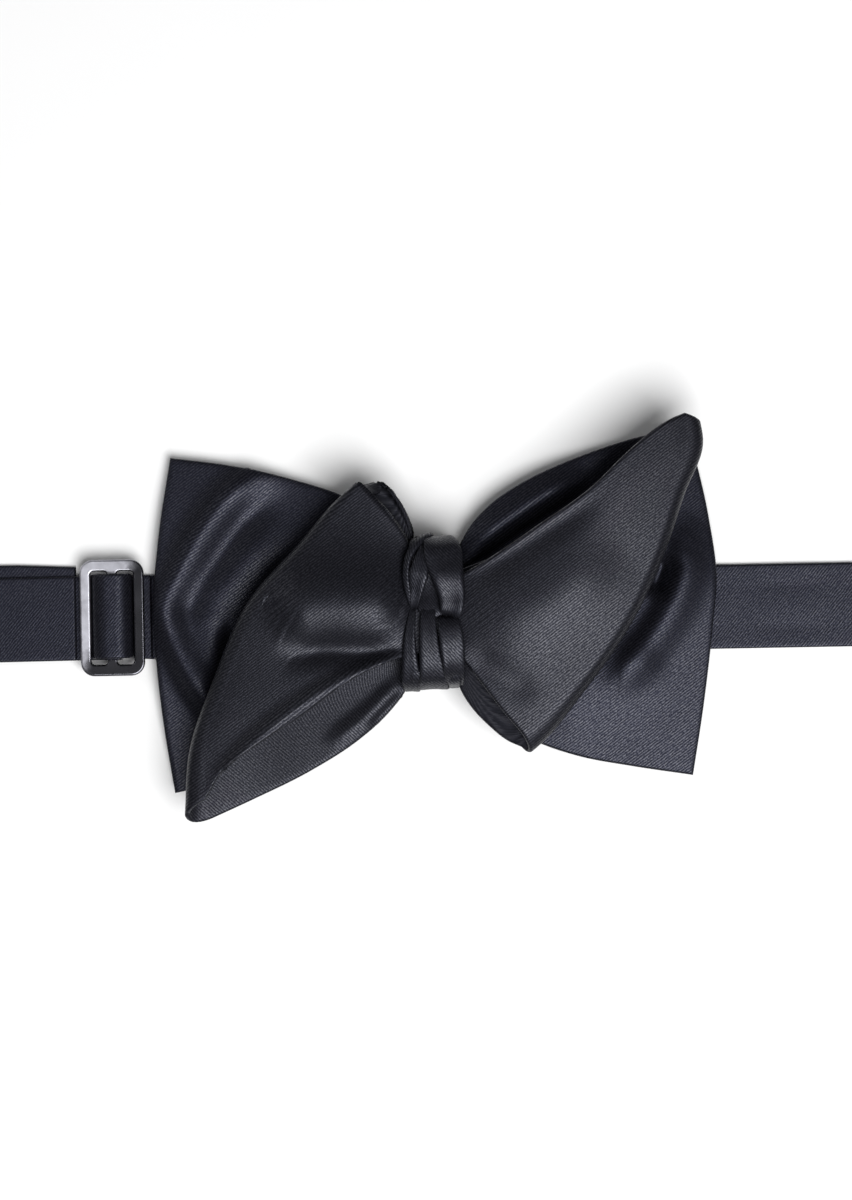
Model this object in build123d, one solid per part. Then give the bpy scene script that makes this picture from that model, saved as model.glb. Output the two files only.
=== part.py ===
"""A dress bow tie with an adjustable neckband, lying on its back with the band laid out straight.

Millimetres. +X runs along the neckband, +Y up the bow's height, +Z from the table towards the front of
the bow. The origin is the centre of the knot's back face, which rests on the table.

The bow is two cloth pieces pinched by a knot: a flat rear blade, and a front bow folded from one strip
into a loop each side, set askew. The neckband passes behind them through the knot. Its right end is
folded round an eye. Its left side runs through a slider, round a hook, and back to the slider's bar.
"""
from build123d import *
import math
import os

# Neckband
BAND_WIDTH = 19.5
BAND_THICKNESS = 1.0
BAND_COVER = 0.3               # the satin of a band that has interlining inside
BAND_LINING_GAP = 0.05
BAND_HEM = 0.8                 # from a cover's edge to the hollow inside it
NECK_HALF_LENGTH = 185.0       # from the knot to the bar of the hook, and to the bar of the eye
SLIDER_PLACE = 74.2            # from the knot to the slider's middle bar, at the shortest setting
PLY_GAP = 0.1                  # air between two plies that lie on each other
SLOT_PLAY = 2.0                # the hardware's slots are this much wider than the band
DESCENT_GAP = 2.2              # from the knot's side to where the band starts down to the table
DESCENT_LENGTH = 6.0
DESCENT_BEND = 12.0

# Slider
SLIDER_THICKNESS = 1.8
SLIDER_LENGTH = 14.8
SLIDER_SIDE_BAR = 2.45
SLIDER_MIDDLE_BAR = 2.2
SLIDER_END_BAR = 2.65
SLIDER_CORNER = 3.2
SLIDER_WINDOW_CORNER = 0.8
SLIDER_EDGE = 0.45
ARCH_GAP = 0.25                # between a side bar and the ply that arches over the middle bar
ARCH_BEND = 3.0
ARCH_FOOT_BEND = 1.0
SHARP_FOLD = 0.1               # inner radius of a pressed fold
SLIDER_TAIL = 1.2              # the pieces on the slider reach this far past its frame

# Hook and eye
BAR_RADIUS = 0.8
BAR_CLEARANCE = 0.1            # air between a bar and the ply that turns round it
PLATE_THICKNESS = 1.4
PLATE_ARM = 2.4
PLATE_CORNER = 0.8
ARM_REACH = 1.2                # of the arms past the bar's centre, towards the band
BAND_SLOT = 2.9                # from a bar's centre to the far side of its slot
HOOK_PLATE = 3.3
TONGUE_WIDTH = 8.0
TONGUE_LENGTH = 6.5
TONGUE_THICKNESS = 1.2
TONGUE_LEAD = 2.0              # from the hook's plate to the middle of the tongue's bend
THROAT = 2.0                   # free height inside the hook
EYE_WINDOW = 4.6               # opening that takes the hook's tongue, along X
EYE_WINDOW_PLAY = 5.0          # and this much wider than the tongue
EYE_RIM = 1.9
TURN_RUN = 13.0                # from a bar to where the folded end of the band starts
TURN_SLOPE = 4.0               # the upper ply comes down from the bar over this length
EYE_TAIL = 17.0                # from the eye's bar to the end of the sewn tail

# Stitches
THREAD = 0.5
THREAD_CLEARANCE = 0.1
BARTACK_LENGTH = 14.0
BARTACK_WIDTH = 1.6
BARTACK_LEGS = 5
SEAM_PLACE = 9.0               # the knot's closing seam, from the knot's centre
SEAM_STITCHES = 6
SEAM_STITCH_LENGTH = 2.4
SEAM_DEPTH = 0.6

# Cloth of the blades
COVER_THICKNESS = 0.35
LINING_THICKNESS = 0.5
LINING_GAP = 0.15
EDGE_INSET = 1.4               # from a sewn edge to the hollow inside
FIT_TOLERANCE = 0.02

# Knot
KNOT_WIDTH = 13.6
KNOT_HEIGHT = 35.4
KNOT_DEPTH = 20.5
KNOT_WALL = 1.3
KNOT_CORNER = 5.5
PADDING_MARGIN = 1.2           # from the knot's side, or the pinched cloth's edge, to the padding inside

# Blades: plan outlines, from the lower corner to the upper one
REAR_LEFT_EDGE = [(-60.3, -40.8), (-64.3, 1.6), (-60.3, 36.6)]
REAR_RIGHT_EDGE = [(59.1, -38.4), (65.1, 3.8), (59.0, 42.0)]
REAR_BULGE = (-7.5, 7.5)       # how far the lower and the upper edge bow out between knot and corner
REAR_EDGE_Z = 3.4
REAR_DROOP = 1.4               # the corners hang this much lower than the middle of the edge
FRONT_LEFT_FOLD = [(-57.1, -44.8), (-52.2, -23.8), (-45.0, -4.9), (-33.7, 11.2), (-15.3, 28.7)]
FRONT_RIGHT_FOLD = [(21.4, -30.9), (35.2, -16.4), (47.0, 0.5), (54.6, 19.2), (61.0, 41.0)]
FRONT_LEFT_BULGE = (-7.5, 0.0)
FRONT_RIGHT_BULGE = (-0.5, 0.5)
LOOP_RADIUS = 3.0              # of the front bow's folds, at the cloth's mid-plane
PLEAT_DEPTH = 1.1              # half the height of the pleats that the knot gathers
PLEAT_COUNT = 2
PLEAT_FADE = 13.0              # the pleats die out over this distance from the knot
BACK_SEAM_GAP = 1.0            # between the front strip's two ends, behind the knot
FOLD_ROUNDNESS = 0.98          # of a full half-round, at the crest of a fold
SAME_PLACE = 0.2               # two places nearer than this are one
LOOP_OPENING = 14.0            # the space inside a loop is cut this far past its open ends

# Places that follow from the sizes above
HALF_PLY = BAND_THICKNESS / 2
PLY_STEP = BAND_THICKNESS + PLY_GAP
LOW_PLY = HALF_PLY                                          # mid-plane of a ply on the table
HIGH_PLY = LOW_PLY + PLY_STEP                               # and of a ply lying on that one
KNOT_PLY = KNOT_WALL + PLY_GAP + HALF_PLY                   # and where the band passes the knot
TURN_RADIUS = BAR_RADIUS + BAR_CLEARANCE + HALF_PLY
BAR_Z = LOW_PLY + TURN_RADIUS
SLIDER_Z = LOW_PLY + 3 * PLY_STEP - HALF_PLY + SLIDER_THICKNESS / 2
SLOT_WIDTH = BAND_WIDTH + SLOT_PLAY
BLADE_HALF = COVER_THICKNESS + LINING_GAP + LINING_THICKNESS / 2
HOLLOW_HALF = LINING_GAP + LINING_THICKNESS / 2
WAIST_HALF = KNOT_WIDTH / 2                                 # the pinched stretch inside the knot, along X
WAIST_HALF_HEIGHT = KNOT_HEIGHT / 2 - KNOT_CORNER - PLY_GAP
REAR_KNOT_Z = KNOT_PLY + HALF_PLY + PLY_GAP + BLADE_HALF + PLEAT_DEPTH
FRONT_UPPER_Z = KNOT_DEPTH - KNOT_WALL - PLY_GAP - BLADE_HALF
FRONT_LOWER_Z = FRONT_UPPER_Z - 2 * LOOP_RADIUS
SLIDER_REACH = SLIDER_LENGTH / 2 + SLIDER_TAIL
WAIST_SHARE = 0.1              # share of the rear blade's length parameter that lies inside the knot
ACROSS_STEPS = 10              # points across and along the rear blade's spline skins
ALONG_STEPS = 24

rear_edges = [Spline(*REAR_LEFT_EDGE), Spline(*REAR_RIGHT_EDGE)]
front_folds = [Spline(*FRONT_LEFT_FOLD), Spline(*FRONT_RIGHT_FOLD)]


def lerp(a, b, t):
    return a + (b - a) * t


def spaced(low, high, count):
    return [lerp(low, high, i / count) for i in range(count + 1)]


def block(x_range, y_range, z_range):
    """A box between two values on each axis."""
    size = [high - low for low, high in (x_range, y_range, z_range)]
    return Pos(x_range[0], y_range[0], z_range[0]) * Box(*size, align=(Align.MIN,) * 3)


# Rear blade ---------------------------------------------------------------------------------------------

def pleat(v, distance):
    """Height of the gathers at a place v across the cloth, at a distance from the knot."""
    return -PLEAT_DEPTH * math.cos(2 * math.pi * PLEAT_COUNT * v) * math.exp(-((distance / PLEAT_FADE) ** 2))


def strand(edge, bulge, v, t):
    """Plan place on the strand that runs from the waist (t = 0) to the outer edge (t = 1) at v."""
    out = edge @ v
    side = math.copysign(WAIST_HALF, out.X)
    y = lerp(-WAIST_HALF_HEIGHT, WAIST_HALF_HEIGHT, v)
    bow = lerp(bulge[0], bulge[1], v) * abs(2 * v - 1) * 4 * t * (1 - t)
    return Vector(lerp(side, out.X, t), lerp(y, out.Y, t) + bow)


def rear_blade(u, v):
    """The rear blade's mid-surface. u runs from -1 at the left edge to 1 at the right one."""
    edge = rear_edges[0] if u < 0 else rear_edges[1]
    t = max(0.0, (abs(u) - WAIST_SHARE) / (1 - WAIST_SHARE))
    place = strand(edge, REAR_BULGE, v, t)
    if t == 0.0:
        place = Vector(u / WAIST_SHARE * WAIST_HALF, place.Y)
    droop = REAR_DROOP * (2 * v - 1) ** 2 * t * t
    gathers = pleat(v, max(0.0, abs(place.X) - WAIST_HALF))
    return Vector(place.X, place.Y, lerp(REAR_KNOT_Z, REAR_EDGE_Z, t) - droop + gathers)


def skin(surface, us, vs, offset):
    """A spline face through the mid-surface's points, moved along its normal."""
    step = 1e-4
    rows = []
    for u in us:
        row = []
        for v in vs:
            inside = min(v, 1 - step)
            along = surface(u + step, inside) - surface(u - step, inside)
            across = surface(u, inside + step) - surface(u, inside)
            row.append(surface(u, v) + along.cross(across).normalized() * offset)
        rows.append(row)
    return Face.make_surface_from_array_of_points(rows, tol=FIT_TOLERANCE)


def cloth_solid(surface, us, vs, half):
    """A closed sheet of thickness 2 * half: two skins joined by ruled edges."""
    front = skin(surface, us, vs, half)
    back = skin(surface, us, vs, -half)
    rims = []
    for edge in front.edges():
        twin = min(back.edges(), key=lambda other: (other.center() - edge.center()).length)
        rims.append(Face.make_surface_from_curves(edge, twin))
    return Solid(Shell([front, back, *rims]))


def rear_blade_pair():
    """The rear blade's sewn cover with a hollow in it, and the interlining that fills the hollow."""
    length = (rear_edges[1] @ 0.5).X - (rear_edges[0] @ 0.5).X
    narrowest = 2 * WAIST_HALF_HEIGHT

    def layer(inset, half):
        reach = 1 - 2 * inset / length
        margin = inset / narrowest
        across = spaced(margin, 1 - margin, ACROSS_STEPS)
        return cloth_solid(rear_blade, spaced(-reach, reach, ALONG_STEPS), across, half)

    cover = layer(0.0, BLADE_HALF) - layer(EDGE_INSET, HOLLOW_HALF)
    lining = layer(EDGE_INSET + LINING_GAP, LINING_THICKNESS / 2)
    return cover, lining


# Front bow ----------------------------------------------------------------------------------------------

def crest_line(crest, inset, trim):
    """A fold's crest in plan, moved inward by inset; its ends are cut back by trim, or run on if negative."""
    share = max(0.0, trim) / crest.length
    toward_knot = -math.copysign(1, crest.center().X)
    points = []
    for v in spaced(share, 1 - share, len(FRONT_LEFT_FOLD) - 1):
        along = crest % v
        inward = Vector(-along.Y, along.X)
        if inward.X * toward_knot < 0:
            inward = -inward
        points.append(crest @ v + inward * inset)
    if trim < 0:
        points.insert(0, points[0] + crest % 0 * trim)
        points.append(points[-1] - crest % 1 * trim)
    return Spline(*points)


def bow_outline(crest_inset, edge_inset):
    """The front bow in plan: two crests joined by four edges and the pinched stretch at the knot."""
    left = crest_line(front_folds[0], crest_inset, edge_inset)
    right = crest_line(front_folds[1], crest_inset, edge_inset)
    half = WAIST_HALF_HEIGHT - edge_inset
    edges = [left, right]
    bulges = ((left, -WAIST_HALF, FRONT_LEFT_BULGE), (right, WAIST_HALF, FRONT_RIGHT_BULGE))
    for end, height in ((0, -half), (1, half)):
        for crest, waist_x, bulge in bulges:
            start, finish = Vector(waist_x, height), crest @ end
            middle = (start + finish) / 2 + Vector(0, bulge[end])
            edges.append(Spline(start, middle, finish))
        edges.append(Line((-WAIST_HALF, height), (WAIST_HALF, height)))
    return make_face(edges), (left, right)


def rounded_slab(crest_inset, edge_inset, low, high):
    """The outline as a slab from low to high, rounded over along its two crests."""
    face, crests = bow_outline(crest_inset, edge_inset)
    slab = Pos(0, 0, low) * extrude(face, high - low)
    for crest in crests:
        middle = crest @ 0.5
        rims = []
        for edge in slab.edges():
            gap = edge @ 0.5 - middle
            if math.hypot(gap.X, gap.Y) < SAME_PLACE:
                rims.append(edge)
        slab = fillet(rims, (high - low) / 2 * FOLD_ROUNDNESS)
    return slab


def folded_strip(skin_inset, edge_inset):
    """The strip folded into two loops, its surface moved in by skin_inset and its edges by edge_inset."""
    half = BLADE_HALF - skin_inset
    body = rounded_slab(skin_inset, edge_inset, FRONT_LOWER_Z - half, FRONT_UPPER_Z + half)
    hollow_inset = 2 * BLADE_HALF - skin_inset
    inside = rounded_slab(hollow_inset, -LOOP_OPENING, FRONT_LOWER_Z + half, FRONT_UPPER_Z - half)
    seam = BACK_SEAM_GAP / 2 + edge_inset
    z_range = (FRONT_LOWER_Z - BLADE_HALF, FRONT_UPPER_Z - half)
    gap = block((-seam, seam), (-KNOT_HEIGHT / 2, KNOT_HEIGHT / 2), z_range)
    return body - inside - gap


def front_bow_pair():
    cover = folded_strip(0.0, 0.0) - folded_strip(COVER_THICKNESS, EDGE_INSET)
    lining = folded_strip(COVER_THICKNESS + LINING_GAP, EDGE_INSET + LINING_GAP)
    return cover, lining


# Knot ---------------------------------------------------------------------------------------------------

def seam_stitches(clearance):
    """The slip stitches across the knot's closing seam, level with its back face."""
    count = SEAM_STITCHES
    pitch = KNOT_WIDTH / count
    stitches = []
    for i in range(count):
        x = (i - (count - 1) / 2) * pitch
        half = THREAD / 2 + clearance
        reach = SEAM_STITCH_LENGTH / 2 + clearance
        low = -clearance if clearance else 0.0
        stitches.append(block((x - half, x + half), (SEAM_PLACE - reach, SEAM_PLACE + reach),
                              (low, SEAM_DEPTH + clearance)))
    return stitches


def knot_wrap():
    outside = Plane.YZ * RectangleRounded(KNOT_HEIGHT, KNOT_DEPTH, KNOT_CORNER)
    inner_size = (KNOT_HEIGHT - 2 * KNOT_WALL, KNOT_DEPTH - 2 * KNOT_WALL)
    inside = Plane.YZ * RectangleRounded(*inner_size, KNOT_CORNER - KNOT_WALL)
    ring = extrude(outside - inside, KNOT_WIDTH / 2, both=True)
    ring = Pos(0, 0, KNOT_DEPTH / 2) * ring
    for pocket in seam_stitches(THREAD_CLEARANCE):
        ring = ring - pocket
    return ring


def knot_padding():
    """The folded wadding between the rear blade and the front bow."""
    low = REAR_KNOT_Z + BLADE_HALF + PLEAT_DEPTH + PLY_GAP
    high = FRONT_LOWER_Z - BLADE_HALF - PLY_GAP
    half_x = KNOT_WIDTH / 2 - PADDING_MARGIN
    half_y = WAIST_HALF_HEIGHT - PADDING_MARGIN
    pad = block((-half_x, half_x), (-half_y, half_y), (low, high))
    pad = fillet(pad.edges().filter_by(Axis.X), (high - low) / 3)
    return pad


# Neckband -----------------------------------------------------------------------------------------------

def ribbon(points, radii, width=BAND_WIDTH, thickness=BAND_THICKNESS):
    """A flat strip across Y that follows straight runs and tangent arcs through (x, z) points."""
    stations = [(x, 0, z) for x, z in points]
    path = FilletPolyline(*stations, radius=radii) if radii else Line(*stations)
    section = Plane(origin=path @ 0, x_dir=(0, 1, 0), z_dir=path % 0) * Rectangle(width, thickness)
    return sweep(section, path=path)


def band_pair(side, length):
    """A band's cover and interlining, from the middle of the knot down to the table and out to length."""
    def layer(hem, thickness):
        descent = KNOT_WIDTH / 2 + DESCENT_GAP
        places = [(hem, KNOT_PLY), (descent, KNOT_PLY), (descent + DESCENT_LENGTH, LOW_PLY)]
        places.append((length - hem, LOW_PLY))
        points = [(side * x, z) for x, z in places]
        return ribbon(points, [DESCENT_BEND] * 2, BAND_WIDTH - 2 * hem, thickness)

    hollow_thickness = BAND_THICKNESS - 2 * BAND_COVER
    cover = layer(0.0, BAND_THICKNESS) - layer(BAND_HEM, hollow_thickness)
    lining = layer(BAND_HEM + BAND_LINING_GAP, hollow_thickness - 2 * BAND_LINING_GAP)
    return cover, lining


def end_turn(side, tail):
    """The band's ply round the bar of the hook or the eye, from its low run to the end of its high one."""
    bar_x = NECK_HALF_LENGTH
    top = LOW_PLY + 2 * TURN_RADIUS
    crest = bar_x + TURN_RADIUS
    places = [(bar_x - TURN_RUN, LOW_PLY), (crest, LOW_PLY), (crest, top), (bar_x - BAR_RADIUS, top)]
    places += [(bar_x - BAR_RADIUS - TURN_SLOPE, HIGH_PLY), (bar_x - tail, HIGH_PLY)]
    points = [(side * x, z) for x, z in places]
    bend = TURN_RADIUS * FOLD_ROUNDNESS
    return ribbon(points, [bend, bend, TURN_RADIUS, TURN_RADIUS])


def eye_bartack(clearance):
    """The stitched bar that closes the fold round the eye: a bar of thread on top and legs through it."""
    x = NECK_HALF_LENGTH - (TURN_RUN + BAR_RADIUS + TURN_SLOPE) / 2
    top = HIGH_PLY + HALF_PLY
    half = BARTACK_WIDTH / 2
    tack = block((x - half, x + half), (-BARTACK_LENGTH / 2, BARTACK_LENGTH / 2), (top, top + THREAD))
    pitch = BARTACK_LENGTH / BARTACK_LEGS
    upward = (Align.CENTER, Align.CENTER, Align.MIN)
    for i in range(BARTACK_LEGS):
        y = (i - (BARTACK_LEGS - 1) / 2) * pitch
        leg = Pos(x, y, 0) * Cylinder(THREAD / 2 + clearance, top, align=upward)
        tack = tack + leg
    return tack


# Slider and what is on it -------------------------------------------------------------------------------

def slider():
    outline = RectangleRounded(SLIDER_LENGTH, SLOT_WIDTH + 2 * SLIDER_END_BAR, SLIDER_CORNER)
    slot = (SLIDER_LENGTH - 2 * SLIDER_SIDE_BAR - SLIDER_MIDDLE_BAR) / 2
    frame = Sketch() + outline
    for side in (-1, 1):
        x = side * (SLIDER_MIDDLE_BAR + slot) / 2
        frame -= Pos(x, 0) * RectangleRounded(slot, SLOT_WIDTH, SLIDER_WINDOW_CORNER)
    plate = extrude(frame, SLIDER_THICKNESS / 2, both=True)
    rims = plate.edges().filter_by(Plane.XY)
    plate = fillet(rims, SLIDER_EDGE)
    return Pos(-SLIDER_PLACE, 0, SLIDER_Z) * plate


def slider_bar_wrap():
    """The band's end: in under the frame, up and round the middle bar, and back under it."""
    side = SLIDER_MIDDLE_BAR / 2 + PLY_GAP + HALF_PLY
    reach = SLIDER_THICKNESS / 2 + PLY_GAP + HALF_PLY
    low, high = SLIDER_Z - reach, SLIDER_Z + reach
    places = [(-SLIDER_REACH, LOW_PLY), (-side, LOW_PLY), (-side, high), (side, high), (side, low)]
    places += [(HALF_PLY + PLY_GAP - side, low)]
    fold = HALF_PLY + SHARP_FOLD
    return ribbon([(x - SLIDER_PLACE, z) for x, z in places], [fold] * 4)


def band_over_slider():
    """The running ply: in under the frame, up over the wrapped middle bar, and out under the frame."""
    side = SLIDER_LENGTH / 2 - SLIDER_SIDE_BAR - ARCH_GAP - HALF_PLY
    high = SLIDER_Z + SLIDER_THICKNESS / 2 + 2 * PLY_GAP + 3 * HALF_PLY
    places = [(-SLIDER_REACH, HIGH_PLY), (-side, HIGH_PLY), (-side, high), (side, high), (side, LOW_PLY)]
    places += [(SLIDER_REACH, LOW_PLY)]
    bends = [ARCH_FOOT_BEND, ARCH_BEND, ARCH_BEND, ARCH_FOOT_BEND]
    return ribbon([(x - SLIDER_PLACE, z) for x, z in places], bends)


def slider_bartack():
    """Thread whipped into the corner where the band's end meets the ply that rises to the bar."""
    corner_x = -SLIDER_PLACE - SLIDER_MIDDLE_BAR / 2 - PLY_GAP
    corner_z = SLIDER_Z - SLIDER_THICKNESS / 2 - PLY_GAP - BAND_THICKNESS
    half = BAND_WIDTH / 2 - BAND_HEM
    return block((corner_x, corner_x + 2 * THREAD), (-half, half), (corner_z - THREAD, corner_z))


def run(mid_z):
    """A straight ply between the slider and the hook."""
    x_range = (TURN_RUN - NECK_HALF_LENGTH, -SLIDER_PLACE - SLIDER_REACH)
    return block(x_range, (-BAND_WIDTH / 2, BAND_WIDTH / 2), (mid_z - HALF_PLY, mid_z + HALF_PLY))


# Hook and eye -------------------------------------------------------------------------------------------

def plate_frame(outline):
    """A flat plate with the round bar of its band slot, the bar's centre at the sketch's origin."""
    plate = extrude(outline, PLATE_THICKNESS / 2, both=True)
    bar = Rot(90, 0, 0) * Cylinder(BAR_RADIUS, SLOT_WIDTH + PLATE_ARM)
    return plate + bar


def slot_outline(far_side, head_half):
    """The flat outline round the band slot, out to a narrower head that starts at far_side."""
    arm_half = SLOT_WIDTH / 2 + PLATE_ARM
    corners = [(-ARM_REACH, -arm_half), (BAND_SLOT, -arm_half), (far_side, -head_half)]
    corners += [(x, -y) for x, y in reversed(corners)]
    outline = Sketch() + make_face(Polyline(*corners, close=True))
    outline = fillet(outline.vertices(), PLATE_CORNER)
    slot = Rectangle(BAND_SLOT + 2 * ARM_REACH, SLOT_WIDTH)
    return outline - Pos(BAND_SLOT / 2 - ARM_REACH, 0) * slot


def eye():
    window = (EYE_WINDOW, TONGUE_WIDTH + EYE_WINDOW_PLAY)
    window_x = BAND_SLOT + EYE_RIM + EYE_WINDOW / 2
    head_half = window[1] / 2 + EYE_RIM
    outline = slot_outline(window_x + EYE_WINDOW / 2 + EYE_RIM, head_half)
    outline = outline - Pos(window_x, 0) * RectangleRounded(*window, SLIDER_WINDOW_CORNER)
    return Pos(NECK_HALF_LENGTH, 0, BAR_Z) * plate_frame(outline)


def hook():
    plate_end = BAND_SLOT + HOOK_PLATE
    plate = plate_frame(slot_outline(plate_end, TONGUE_WIDTH))
    bend_x = plate_end + TONGUE_LEAD
    tip_z = PLATE_THICKNESS / 2 + THROAT + TONGUE_THICKNESS / 2
    places = [(BAND_SLOT + HOOK_PLATE / 2, 0), (bend_x, 0), (bend_x, tip_z), (bend_x - TONGUE_LENGTH, tip_z)]
    tongue = ribbon(places, [tip_z / 2 * FOLD_ROUNDNESS] * 2, TONGUE_WIDTH, TONGUE_THICKNESS)
    whole = plate + tongue
    return Pos(-NECK_HALF_LENGTH, 0, BAR_Z) * Rot(0, 0, 180) * whole


def main():
    rear_cover, rear_lining = rear_blade_pair()
    front_cover, front_lining = front_bow_pair()
    left_cover, left_lining = band_pair(-1, SLIDER_PLACE - SLIDER_REACH)
    right_cover, right_lining = band_pair(1, NECK_HALF_LENGTH - TURN_RUN)
    nodes = {
        "rear_blade_cover": rear_cover,
        "rear_blade_interlining": rear_lining,
        "front_bow_cover": front_cover,
        "front_bow_interlining": front_lining,
        "knot_wrap": knot_wrap(),
        "knot_padding": knot_padding(),
        "knot_seam_stitches": Compound(children=seam_stitches(0.0)),
        "neckband_left_cover": left_cover,
        "neckband_left_interlining": left_lining,
        "neckband_right_cover": right_cover,
        "neckband_right_interlining": right_lining,
        "eye_end_fold": end_turn(1, EYE_TAIL) - eye_bartack(THREAD_CLEARANCE),
        "eye_bartack": eye_bartack(0.0),
        "eye": eye(),
        "slider": slider(),
        "slider_bar_wrap": slider_bar_wrap(),
        "band_over_slider": band_over_slider(),
        "slider_bartack": slider_bartack(),
        "upper_run": run(HIGH_PLY),
        "lower_run": run(LOW_PLY),
        "hook_turn": end_turn(-1, TURN_RUN),
        "hook": hook(),
    }
    os.makedirs("parts", exist_ok=True)
    for name, piece in nodes.items():
        export_step(piece, f"parts/{name}.step")


main()
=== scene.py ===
import math

import bpy
import numpy as np
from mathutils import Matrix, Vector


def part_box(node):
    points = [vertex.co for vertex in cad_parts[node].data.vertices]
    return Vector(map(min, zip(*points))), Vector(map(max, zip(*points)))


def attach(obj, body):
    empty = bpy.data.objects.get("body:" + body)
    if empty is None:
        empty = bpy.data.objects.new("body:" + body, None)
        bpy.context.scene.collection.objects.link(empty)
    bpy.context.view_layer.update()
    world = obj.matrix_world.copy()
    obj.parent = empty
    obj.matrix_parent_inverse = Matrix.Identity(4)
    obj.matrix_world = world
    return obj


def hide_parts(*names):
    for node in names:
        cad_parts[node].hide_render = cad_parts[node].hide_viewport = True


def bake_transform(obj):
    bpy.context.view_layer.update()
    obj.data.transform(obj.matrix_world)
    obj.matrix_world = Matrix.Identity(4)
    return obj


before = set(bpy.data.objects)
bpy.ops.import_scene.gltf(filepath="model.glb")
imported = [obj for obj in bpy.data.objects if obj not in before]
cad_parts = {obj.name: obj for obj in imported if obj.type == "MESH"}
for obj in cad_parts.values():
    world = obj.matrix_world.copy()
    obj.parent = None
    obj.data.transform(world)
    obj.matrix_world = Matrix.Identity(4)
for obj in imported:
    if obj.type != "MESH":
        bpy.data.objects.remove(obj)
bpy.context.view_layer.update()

MM = 0.001

# Cloth
CLOTH_THICKNESS = 1.3          # a sewn blade: two plies of satin over interlining
SEAM_ROUND = 0.7               # how far in from a sewn edge the cloth is still rounding over
ACROSS = 72                    # grid steps across a leaf
ALONG = 76                     # grid steps from the knot to a leaf's end
ROUND_STEPS = 14               # grid steps round a loop's fold
LOOP_ROLL = 2.6                # radius of a loop's fold in plan
BAND_THICKNESS = 1.0
BAND_SEAM_ROUND = 0.45
BAND_WIDTH = 19.5
END_ROUND = 1.6                # over this length a fold's end rounds over and tucks in

# View
CAMERA_LENS = 100.0
CAMERA_HEIGHT = 0.773
CAMERA_AIM = (-0.0018, 0.0028)
CAMERA_ROLL = math.radians(-1.05)

# Light
ROOM_LIGHT = 0.12
LIGHTS = (("window_light", (0.30, -0.47, 1.15), 0.85, 20.5),     # name, place, side, watts
          ("side_light", (-0.75, 0.45, 0.75), 0.8, 1.5))
TABLE_SIZE = 6.0
TABLE_DROP = 0.0002            # the table lies this far under the tie, so that the two never share a plane

# Straps
STRAP_STEPS = 44               # grid steps along a fold of the knot, and round it
STRAP_AROUND = 32
STRAP_SQUARENESS = 2.6         # 2 is a plain oval section, more is flatter with rounder corners

# Sockets that go by number
OBJECT_PLACES = 3              # of a Texture Coordinate node's outputs
MIX_SHARE, MIX_LOW, MIX_HIGH, MIXED_COLOUR = 0, 6, 7, 2


# Curves and cloth surfaces, in millimetres --------------------------------------------------------------

class Seam:
    """A smooth line through a few points, walked from 0 to 1 by its length."""

    def __init__(self, *points):
        self.points = np.array(points, float)
        gaps = np.linalg.norm(np.diff(self.points, axis=0), axis=1)
        self.reach = np.concatenate(([0.0], np.cumsum(gaps)))
        self.slopes = np.gradient(self.points, self.reach, axis=0)

    def __call__(self, share):
        place = np.clip(np.asarray(share, float), 0, 1) * self.reach[-1]
        span = np.clip(np.searchsorted(self.reach, place, side="right") - 1, 0, len(self.reach) - 2)
        width = self.reach[span + 1] - self.reach[span]
        t = ((place - self.reach[span]) / width)[..., None]
        width = width[..., None]
        a, b = self.points[span], self.points[span + 1]
        ma, mb = self.slopes[span] * width, self.slopes[span + 1] * width
        t2, t3 = t * t, t * t * t
        return (2 * t3 - 3 * t2 + 1) * a + (t3 - 2 * t2 + t) * ma + (3 * t2 - 2 * t3) * b + (t3 - t2) * mb


def leaf(low, high, near, far, across, along):
    """A panel between a low and a high edge, from its near end at the knot to its far end."""
    s = across[None, :, None]
    t = along[:, None, None]
    edges = (1 - s) * low(along)[:, None] + s * high(along)[:, None]
    ends = (1 - t) * near(across)[None] + t * far(across)[None]
    corners = (1 - t) * ((1 - s) * near(0.0) + s * near(1.0)) + t * ((1 - s) * far(0.0) + s * far(1.0))
    return edges + ends - corners


def crease(places, line, height, width, other_width, fade):
    """Height of a fold that follows a line in plan, dying out at both of the line's ends.

    width is on the line's left-hand side and other_width on its right. fade is the share of the line's
    length over which it dies out."""
    path = Seam(*line)
    shares = np.linspace(0, 1, 60)
    spine = path(shares)
    flat = places[..., :2].reshape(-1, 2)
    gaps = flat[:, None, :] - spine[None, :, :2]
    squares = (gaps ** 2).sum(-1)
    nearest = squares.argmin(1)
    distance = np.sqrt(squares[np.arange(len(flat)), nearest])
    heading = np.gradient(spine[:, :2], axis=0)[nearest]
    gap = gaps[np.arange(len(flat)), nearest]
    left = heading[:, 0] * gap[:, 1] - heading[:, 1] * gap[:, 0] > 0
    spread = np.where(left, width, other_width)
    at = shares[nearest]
    ends = np.clip(at / fade, 0, 1) * np.clip((1 - at) / fade, 0, 1)
    ends = ends * ends * (3 - 2 * ends)
    return (height * np.exp(-((distance / spread) ** 2)) * ends).reshape(places.shape[:2])


def edge_steps(count, seam=0.012):
    """Steps from 0 to 1, closer together at both ends, where a sewn edge rounds over."""
    inner = np.linspace(seam, 1 - seam, count)
    rim = seam * np.array([0.0, 0.08, 0.25, 0.55])
    return np.concatenate((rim, inner, 1 - rim[::-1]))


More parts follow.
